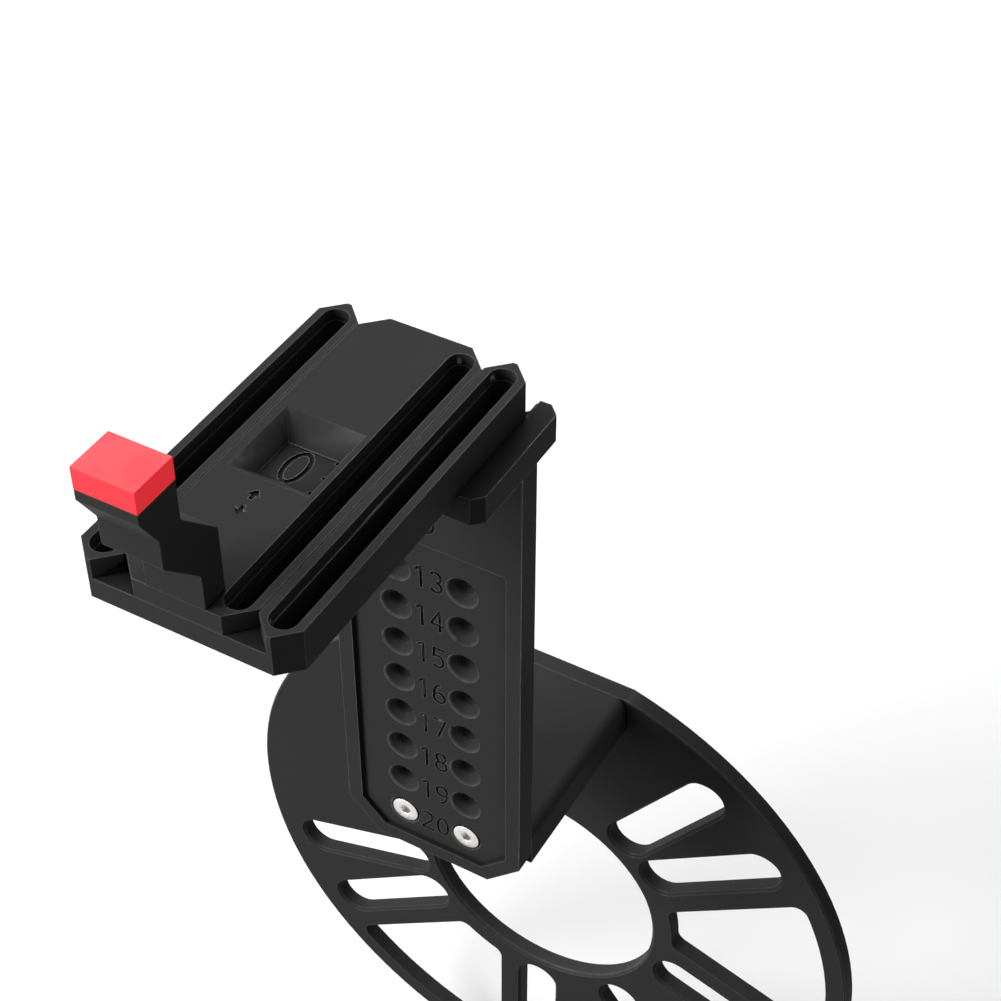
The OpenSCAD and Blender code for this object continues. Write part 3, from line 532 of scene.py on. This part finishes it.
@dataclass(frozen=True)
class EdgeSoftener:
    """Copies a part of the frame with its outer edges rounded."""

    round: EdgeRound = EdgeRound.MOULDED
    steps: int = 3
    least_turn: float = math.radians(50)
    room: float = 3.2
    flat: float = math.radians(0.3)
    same_point: float = 1e-6
    profile: float = 0.5
    crease: float = math.radians(35)

    @staticmethod
    def depth(face: bmesh.types.BMFace, edge: bmesh.types.BMEdge) -> float:
        """Measure a face at right angles to one of its edges.

        Args:
            face: The face to measure.
            edge: The edge that it is measured from.

        Returns:
            How far the face reaches away from the edge.
        """
        along = (edge.verts[1].co - edge.verts[0].co).normalized()
        across = face.normal.cross(along)
        start = edge.verts[0].co.dot(across)
        return max(abs(vert.co.dot(across) - start) for vert in face.verts)

    def wanted(self, edge: bmesh.types.BMEdge) -> bool:
        """Tell whether an edge is an outer one with room for its rounding.

        Args:
            edge: The edge to look at.

        Returns:
            True if it is to be rounded.
        """
        if not edge.is_manifold or not edge.is_convex:
            return False
        if edge.calc_face_angle(0.0) < self.least_turn:
            return False
        return min(self.depth(face, edge) for face in edge.link_faces) > self.room * self.round.value

    def copy(self, node: str, name: str) -> bpy.types.Object:
        """Copy a part and round its edges.

        Args:
            node: The part's name in the frame.
            name: The new object's name.

        Returns:
            The new object.
        """
        shape = bmesh.new()
        shape.from_mesh(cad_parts[node].data)
        bmesh.ops.remove_doubles(shape, verts=shape.verts, dist=self.same_point)
        bmesh.ops.dissolve_limit(shape, angle_limit=self.flat, verts=shape.verts, edges=shape.edges)
        shape.normal_update()
        edges = [edge for edge in shape.edges if self.wanted(edge)]
        bmesh.ops.bevel(shape, geom=edges, offset=self.round.value, offset_type="OFFSET",
                        segments=self.steps, profile=self.profile, affect="EDGES", clamp_overlap=True)
        piece = linked(name, shape, self.crease)
        even = piece.modifiers.new("even_shading", "WEIGHTED_NORMAL")
        even.keep_sharp = True
        log.info("rounded %d edges of %s", len(edges), node)
        return piece


@dataclass
class Lathe:
    """Builds a shape from rings of points around +Z."""

    sides: int = 24
    shape: bmesh.types.BMesh = field(default_factory=bmesh.new)
    last: list[bmesh.types.BMVert] = field(default_factory=list)

    def ring(self, radius: RadiusAt, height: float) -> None:
        """Add a ring of points and join it to the one before.

        Args:
            radius: The radius at an angle.
            height: The ring's height.
        """
        row = []
        for i in range(self.sides):
            angle = 2 * math.pi * i / self.sides
            place = (radius(angle) * math.cos(angle), radius(angle) * math.sin(angle), height)
            row.append(self.shape.verts.new(place))
        if self.last:
            self.skin(self.last, row)
        self.last = row

    def skin(self, low: list[bmesh.types.BMVert], high: list[bmesh.types.BMVert]) -> None:
        """Join two rings with faces.

        Args:
            low: The first ring.
            high: The second ring.
        """
        for i in range(self.sides):
            j = (i + 1) % self.sides
            self.shape.faces.new((low[i], low[j], high[j], high[i]))

    def fan(self, height: float) -> None:
        """Close the last ring with faces to a point on the axis.

        Args:
            height: The point's height.
        """
        tip = self.shape.verts.new((0.0, 0.0, height))
        for i in range(self.sides):
            self.shape.faces.new((self.last[i], self.last[(i + 1) % self.sides], tip))

    def done(self, name: str, crease: float = math.radians(32)) -> bpy.types.Object:
        """Finish the shape with its faces turned outwards."""
        bmesh.ops.recalc_face_normals(self.shape, faces=self.shape.faces)
        return linked(name, self.shape, crease)


class ScrewCut(NamedTuple):
    """What one kind of countersunk screw has cut into it."""

    thread_d: float
    rim: float
    hex_w: float
    hex_depth: float
    pitch: float


LARGE_SCREW = ScrewCut(thread_d=4.0 * MM, rim=0.7 * MM, hex_w=2.5 * MM, hex_depth=1.6 * MM, pitch=0.7 * MM)
SMALL_SCREW = ScrewCut(thread_d=3.0 * MM, rim=0.0, hex_w=2.0 * MM, hex_depth=1.15 * MM, pitch=0.5 * MM)


@dataclass
class SunkScrew:
    """A countersunk screw with a cut thread and a hex socket, its head's face at zero on +Z."""

    cut: ScrewCut
    head_d: float
    length: float
    slack: float = 0.02 * MM
    rows_per_turn: int = 5
    bevel: float = 0.14 * MM
    mouth: float = 0.16 * MM
    drill_tip: float = 0.45 * MM
    thread_depth: float = 0.54
    flank: float = 2.4
    tip_taper: float = 0.72
    lead_in: float = 0.6
    run_out: float = 0.5
    rim_drop: float = 0.6

    def hex_at(self, angle: float) -> float:
        """Give the hex socket's radius at an angle."""
        return self.cut.hex_w / 2 / math.cos(math.fmod(angle, math.pi / 3) - math.pi / 6)

    def thread_at(self, height: float, fade: float) -> RadiusAt:
        """Give the thread's radius around one ring.

        Args:
            height: The ring's height.
            fade: Share of the full thread depth there.

        Returns:
            The radius as a function of the angle.
        """
        depth = self.thread_depth * self.cut.pitch * fade
        crest = self.cut.thread_d / 2 - self.slack

        def radius(angle: float) -> float:
            """Give the radius at one angle."""
            phase = (height / self.cut.pitch - angle / (2 * math.pi)) % 1.0
            return crest - depth * (1.0 - min(1.0, self.flank * abs(phase - 0.5)))

        return radius

    def build(self, name: str, place: Vector, facing: Facing) -> bpy.types.Object:
        """Turn the screw and put it in its place.

        Args:
            name: The object's name.
            place: Middle of the head's face.
            facing: Way that the head faces.

        Returns:
            The new object.
        """
        cut = self.cut
        neck = -cut.rim - (self.head_d - cut.thread_d) / 2
        crest = cut.thread_d / 2 - self.slack
        edge = max(cut.rim, self.bevel)
        side_r = self.head_d / 2 - self.slack - (edge - cut.rim)
        hex_out = cut.hex_w / math.sqrt(3)
        low, high = -self.length + self.lead_in * cut.pitch, neck - self.run_out * cut.pitch
        count = round((high - low) / cut.pitch * self.rows_per_turn)
        lathe = Lathe()
        lathe.ring(lambda a: self.tip_taper * crest, -self.length)
        lathe.fan(-self.length)
        for i in range(count + 1):
            height = low + (high - low) * i / count
            fade = min(1.0, i / self.rows_per_turn, (count - i) / self.rows_per_turn)
            lathe.ring(self.thread_at(height, fade), height)
        lathe.ring(lambda a: crest, neck)
        lathe.ring(lambda a: side_r, -edge)
        lathe.ring(lambda a: side_r, -self.rim_drop * self.bevel)
        lathe.ring(lambda a: side_r - self.bevel, 0.0)
        lathe.ring(lambda a: hex_out + self.mouth, 0.0)
        lathe.ring(self.hex_at, -self.mouth)
        lathe.ring(self.hex_at, -cut.hex_depth)
        lathe.fan(-cut.hex_depth - self.drill_tip)
        piece = lathe.done(name)
        piece.matrix_world = Matrix.Translation(place) @ facing.value
        return piece


@dataclass
class KnurledInsert:
    """A brass insert with two knurled bands, a waist and a bore drawn without its thread, from zero up +Z.
    """

    outer_d: float
    bore_d: float
    length: float
    waist: float = 1.44 * MM
    waist_in: float = 0.4 * MM
    knurl: float = 0.14 * MM
    chamfer: float = 0.3 * MM
    steps: int = 48

    def knurled(self, angle: float) -> float:
        """Give the radius of a knurled band at an angle."""
        return self.outer_d / 2 - self.knurl * (round(angle / (2 * math.pi) * self.steps) % 2)

    def build(self, name: str, place: Vector, facing: Facing) -> bpy.types.Object:
        """Turn the insert and put it in its place.

        Args:
            name: The object's name.
            place: Middle of its first face.
            facing: Way that it runs from there.

        Returns:
            The new object.
        """
        band = (self.length - self.waist) / 2
        thin = self.outer_d / 2 - self.waist_in
        lathe = Lathe(sides=self.steps)
        lathe.ring(lambda a: self.bore_d / 2, 0.0)
        first = lathe.last
        for radius, height in ((thin, 0.0), (self.knurled, self.chamfer), (self.knurled, band), (thin, band),
                               (thin, self.length - band), (self.knurled, self.length - band),
                               (self.knurled, self.length - self.chamfer), (thin, self.length),
                               (self.bore_d / 2, self.length)):
            lathe.ring(radius if callable(radius) else lambda a, r=radius: r, height)
        lathe.skin(lathe.last, first)
        piece = lathe.done(name)
        piece.matrix_world = Matrix.Translation(place) @ facing.value
        return piece


@dataclass
class HubPlate:
    """The slotted round plate that sits on the wheel hub."""

    shop: Workshop
    softener: EdgeSoftener = field(default_factory=lambda: EdgeSoftener(EdgeRound.CRISP))
    pieces: list[bpy.types.Object] = field(default_factory=list)

    def build(self) -> None:
        """Round the plate's seat edges."""
        plate = self.softener.copy("hub_plate", "hub_plate_disc")
        self.shop.settle(plate, "hub_plate", "hub_and_arm", "black_plastic")
        self.pieces.append(plate)

    def dress(self) -> None:
        """Put the black plastic on the plate."""
        for piece in self.pieces:
            self.shop.dress(piece, BLACK_PLASTIC)


@dataclass
class StandoffBlock:
    """The block between plate and arm, with its screws and inserts."""

    shop: Workshop
    blocks: list[bpy.types.Object] = field(default_factory=list)
    screws: list[bpy.types.Object] = field(default_factory=list)
    inserts: list[bpy.types.Object] = field(default_factory=list)

    def build(self) -> None:
        """Round the block, thread its screws and knurl its inserts."""
        block = EdgeSoftener().copy("standoff_block", "standoff_block_beam")
        self.shop.settle(block, "standoff_block", "hub_and_arm", "black_plastic")
        self.blocks.append(block)
        low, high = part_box("standoff_screws")
        middle = (low + high) / 2
        head_d = high.z - low.z
        gap = (high.x - low.x - head_d) / 2
        screw = SunkScrew(LARGE_SCREW, head_d, high.y - low.y)
        for i in range(3):
            place = Vector((middle.x + (i - 1) * gap, high.y, middle.z))
            self.screws.append(screw.build(f"standoff_screw_{i + 1}", place, Facing.VEHICLE))
            self.shop.settle(self.screws[-1], "standoff_screws", "hub_and_arm", "screw_steel")
        low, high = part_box("standoff_inserts")
        outer = high.z - low.z
        insert = KnurledInsert(outer, INSERT_BORE, high.y - low.y)
        for i in range(3):
            place = Vector((middle.x + (i - 1) * gap, high.y, middle.z))
            self.inserts.append(insert.build(f"standoff_insert_{i + 1}", place, Facing.STREET))
            self.shop.settle(self.inserts[-1], "standoff_inserts", "hub_and_arm", "insert_brass")

    def dress(self) -> None:
        """Put plastic, steel and brass on the block's pieces."""
        for pieces, finish in ((self.blocks, BLACK_PLASTIC), (self.screws, SCREW_STEEL),
                               (self.inserts, INSERT_BRASS)):
            for piece in pieces:
                self.shop.dress(piece, finish)


@dataclass
class DiameterArm:
    """The upright arm with its numbered holes, its shelf and what sits in it."""

    shop: Workshop
    arms: list[bpy.types.Object] = field(default_factory=list)
    inserts: list[bpy.types.Object] = field(default_factory=list)

    def build(self) -> None:
        """Round the arm's edges and knurl its inserts."""
        arm = EdgeSoftener().copy("arm", "arm_upright")
        self.shop.settle(arm, "arm", "hub_and_arm", "black_plastic")
        self.arms.append(arm)
        low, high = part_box("arm_inserts")
        outer = high.z - low.z
        insert = KnurledInsert(outer, INSERT_BORE, high.y - low.y)
        for side, x in (("left", low.x + outer / 2), ("right", high.x - outer / 2)):
            place = Vector((x, high.y, (low.z + high.z) / 2))
            self.inserts.append(insert.build(f"arm_insert_{side}", place, Facing.STREET))
            self.shop.settle(self.inserts[-1], "arm_inserts", "hub_and_arm", "insert_brass")

    def dress(self) -> None:
        """Put plastic, brass and steel on the arm's pieces."""
        for arm in self.arms:
            self.shop.dress(arm, BLACK_PLASTIC)
        for insert in self.inserts:
            self.shop.dress(insert, INSERT_BRASS)
        self.shop.dress(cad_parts["carriage_spring"], SPRING_STEEL)
        self.shop.dress(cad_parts["width_stop_pin"], SPRING_STEEL)


@dataclass
class ArmScrews:
    """The two screws that set the arm to a wheel diameter."""

    shop: Workshop
    screws: list[bpy.types.Object] = field(default_factory=list)

    def build(self) -> None:
        """Thread both screws in their own bodies."""
        for side in ("left", "right"):
            low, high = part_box(f"{side}_arm_screw")
            middle = (low + high) / 2
            screw = SunkScrew(LARGE_SCREW, high.z - low.z, high.y - low.y)
            place = Vector((middle.x, low.y, middle.z))
            piece = screw.build(f"{side}_arm_screw_threaded", place, Facing.STREET)
            self.shop.settle(piece, f"{side}_arm_screw", f"{side}_screw", "screw_steel")
            self.screws.append(piece)

    def dress(self) -> None:
        """Put the bright steel on both screws."""
        for screw in self.screws:
            self.shop.dress(screw, SCREW_STEEL)


@dataclass
class WidthCarriage:
    """The carriage with its rails, guide key and scale."""

    shop: Workshop
    carriages: list[bpy.types.Object] = field(default_factory=list)
    screws: list[bpy.types.Object] = field(default_factory=list)

    def build(self) -> None:
        """Round the carriage's edges and thread the key's screws."""
        carriage = EdgeSoftener().copy("carriage", "carriage_bed")
        self.shop.settle(carriage, "carriage", "width_carriage", "black_plastic")
        self.carriages.append(carriage)
        low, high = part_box("key_screws")
        middle = (low + high) / 2
        head_d = high.x - low.x
        gap = (high.y - low.y - head_d) / 2
        screw = SunkScrew(SMALL_SCREW, head_d, high.z - low.z)
        for i in range(3):
            place = Vector((middle.x, middle.y + (i - 1) * gap, high.z))
            self.screws.append(screw.build(f"key_screw_{i + 1}", place, Facing.UP))
            self.shop.settle(self.screws[-1], "key_screws", "width_carriage", "screw_steel")

    def dress(self) -> None:
        """Put plastic and steel on the carriage's pieces."""
        for carriage in self.carriages:
            self.shop.dress(carriage, BLACK_PLASTIC)
        for screw in self.screws:
            self.shop.dress(screw, SCREW_STEEL)
        self.shop.dress(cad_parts["guide_key"], DARK_PLASTIC)
        self.shop.dress(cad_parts["offset_scale"], BLACK_PLASTIC)
        self.shop.dress(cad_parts["offset_stop_pin"], SPRING_STEEL)


@dataclass
class OffsetSlide:
    """The slide with its reading window, its post and the red tip."""

    shop: Workshop
    plastics: list[bpy.types.Object] = field(default_factory=list)
    screws: list[bpy.types.Object] = field(default_factory=list)
    caps: list[bpy.types.Object] = field(default_factory=list)

    def build(self) -> None:
        """Round the slide, the post and the cap, and thread the post's screws."""
        for node, name in (("offset_slide", "offset_slide_plate"), ("lip_post", "lip_post_bracket")):
            self.plastics.append(EdgeSoftener(least_turn=math.radians(40)).copy(node, name))
            self.shop.settle(self.plastics[-1], node, "lip_slide", "black_plastic")
        cap = EdgeSoftener(EdgeRound.CRISP).copy("tip_cap", "tip_cap_red")
        self.shop.settle(cap, "tip_cap", "lip_slide", "red_plastic")
        self.caps.append(cap)
        low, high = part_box("post_screws")
        middle = (low + high) / 2
        head_d = high.y - low.y
        gap = (high.x - low.x - head_d) / 2
        screw = SunkScrew(SMALL_SCREW, head_d, high.z - low.z)
        for side, sign in (("left", -1), ("right", 1)):
            place = Vector((middle.x + sign * gap, middle.y, low.z))
            self.screws.append(screw.build(f"post_screw_{side}", place, Facing.DOWN))
            self.shop.settle(self.screws[-1], "post_screws", "lip_slide", "screw_steel")

    def dress(self) -> None:
        """Put plastic, steel and red on the slide's pieces."""
        for pieces, finish in ((self.plastics, BLACK_PLASTIC), (self.screws, SCREW_STEEL),
                               (self.caps, RED_PLASTIC)):
            for piece in pieces:
                self.shop.dress(piece, finish)
        self.shop.dress(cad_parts["slide_spring"], SPRING_STEEL)


@dataclass(frozen=True)
class SoftLamp:
    """A square studio lamp that looks at the object's middle."""

    name: str
    place: tuple[float, float, float]
    size: float
    power: float

    def build(self, target: Vector) -> None:
        """Hang the lamp.

        Args:
            target: The point that it looks at.
        """
        light = bpy.data.lights.new(self.name, "AREA")
        light.size = self.size
        light.energy = self.power
        lamp = bpy.data.objects.new(self.name, light)
        lamp.location = self.place
        lamp.rotation_euler = (target - Vector(self.place)).to_track_quat("-Z", "Y").to_euler()
        bpy.context.scene.collection.objects.link(lamp)


@dataclass
class Studio:
    """Floor, lamps, world and the camera at the photograph's angle."""

    floor_size: float = 8.0
    floor_colour: Colour = (0.95, 0.95, 0.95)
    floor_bounce: Colour = (0.15, 0.15, 0.15)
    floor_glow: float = 0.1
    floor_roughness: float = 0.9
    floor_specular: float = 0.1
    fade_start: float = 0.5
    fade_end: float = 1.8
    world_strength: float = 0.16
    azimuth: float = math.radians(29.84)
    elevation: float = math.radians(42.335)
    image_px: float = 1001.0
    focal_px: float = 2172.57
    sensor: float = 36.0
    shift_right: float = -0.014304
    shift_up: float = 0.114744
    distance: float = 0.66744
    lamps: tuple[SoftLamp, ...] = (
        SoftLamp("key_lamp", (-1.0, -1.2, 0.95), 0.7, 20.5),
        SoftLamp("low_lamp", (-1.2, -1.35, 0.2), 0.8, 11.0),
        SoftLamp("top_lamp", (-1.0, 0.15, 1.35), 1.0, 10.0),
        SoftLamp("back_lamp", (-0.55, 1.25, 0.95), 1.0, 13.0),
        SoftLamp("edge_lamp", (1.1, 0.95, 0.85), 0.35, 1.5),
    )

    def build(self) -> None:
        """Set up the whole studio."""
        low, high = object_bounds()
        middle = (Vector(low) + Vector(high)) / 2
        self.floor(Vector(low).z)
        for lamp in self.lamps:
            lamp.build(middle)
        self.world()
        self.camera()
        bpy.context.scene.view_settings.view_transform = "Standard"

    @staticmethod
    def seen(sheet: NodeSheet) -> bpy.types.NodeSocket:
        """Make a mask of the rays that show a surface, straight or by reflection.

        Args:
            sheet: The node tree that asks.

        Returns:
            1 for camera, glossy and transmission rays, otherwise 0.
        """
        path = sheet.add("ShaderNodeLightPath")
        straight = sheet.math("MAXIMUM", path.outputs["Is Camera Ray"], path.outputs["Is Transmission Ray"])
        return sheet.math("MAXIMUM", straight, path.outputs["Is Glossy Ray"])

    def floor(self, height: float) -> None:
        """Lay a plain pale floor that fades to white away from the object.

        Args:
            height: Where the object's lowest point stands.
        """
        shape = bmesh.new()
        bmesh.ops.create_grid(shape, x_segments=4, y_segments=4, size=self.floor_size / 2)
        ground = linked("studio_floor", shape, math.pi)
        ground.location.z = height
        made = bpy.data.materials.new("pale_floor")
        made.use_nodes = True
        sheet = NodeSheet(made.node_tree)
        shader = made.node_tree.nodes["Principled BSDF"]
        seen = self.seen(sheet)
        sheet.join(sheet.blend(seen, self.floor_bounce, self.floor_colour), shader.inputs["Base Color"])
        shader.inputs["Roughness"].default_value = self.floor_roughness
        shader.inputs["Specular IOR Level"].default_value = self.floor_specular
        shader.inputs["Emission Color"].default_value = (1.0, 1.0, 1.0, 1.0)
        away = sheet.add("ShaderNodeVectorMath", operation="LENGTH")
        sheet.join(sheet.add("ShaderNodeTexCoord").outputs["Object"], away.inputs[0])
        fade = sheet.add("ShaderNodeMapRange", interpolation_type="SMOOTHSTEP")
        sheet.join(away.outputs["Value"], fade.inputs["Value"])
        fade.inputs["From Min"].default_value = self.fade_start
        fade.inputs["From Max"].default_value = self.fade_end
        fade.inputs["To Min"].default_value = self.floor_glow
        glow = sheet.math("MULTIPLY", seen, fade.outputs["Result"])
        sheet.join(glow, shader.inputs["Emission Strength"])
        ground.data.materials.append(made)
        ground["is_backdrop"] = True

    def world(self) -> None:
        """Light the room softly, with a white wall wherever it is seen."""
        room = bpy.data.worlds.new("studio_room")
        room.use_nodes = True
        sheet = NodeSheet(room.node_tree)
        wall = room.node_tree.nodes["Background"]
        wall.inputs["Color"].default_value = (1.0, 1.0, 1.0, 1.0)
        sheet.join(sheet.spread(self.seen(sheet), self.world_strength, 1.0), wall.inputs["Strength"])
        bpy.context.scene.world = room

    def camera(self) -> None:
        """Put the camera where the photograph was taken from."""
        cos_el, sin_el = math.cos(self.elevation), math.sin(self.elevation)
        right = Vector((math.cos(self.azimuth), math.sin(self.azimuth), 0.0))
        back = Vector((math.sin(self.azimuth) * cos_el, -math.cos(self.azimuth) * cos_el, sin_el))
        up = back.cross(right)
        lens = bpy.data.cameras.new("photo_camera")
        lens.sensor_width = self.sensor
        lens.lens = self.sensor * self.focal_px / self.image_px
        view = bpy.data.objects.new("photo_camera", lens)
        turn = Matrix((right, up, back)).transposed().to_4x4()
        place = right * self.shift_right + up * self.shift_up + back * self.distance
        view.matrix_world = Matrix.Translation(place) @ turn
        bpy.context.scene.collection.objects.link(view)
        bpy.context.scene.camera = view


def main() -> None:
    """Build and dress every sub-assembly, then set up the studio."""
    logging.basicConfig(level=logging.INFO, format="%(name)s: %(message)s")
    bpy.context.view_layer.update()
    shop = Workshop()
    for assembly in (HubPlate(shop), StandoffBlock(shop), DiameterArm(shop), ArmScrews(shop),
                     WidthCarriage(shop), OffsetSlide(shop)):
        assembly.build()
        assembly.dress()
    Studio().build()


if __name__ == "__main__":
    main()
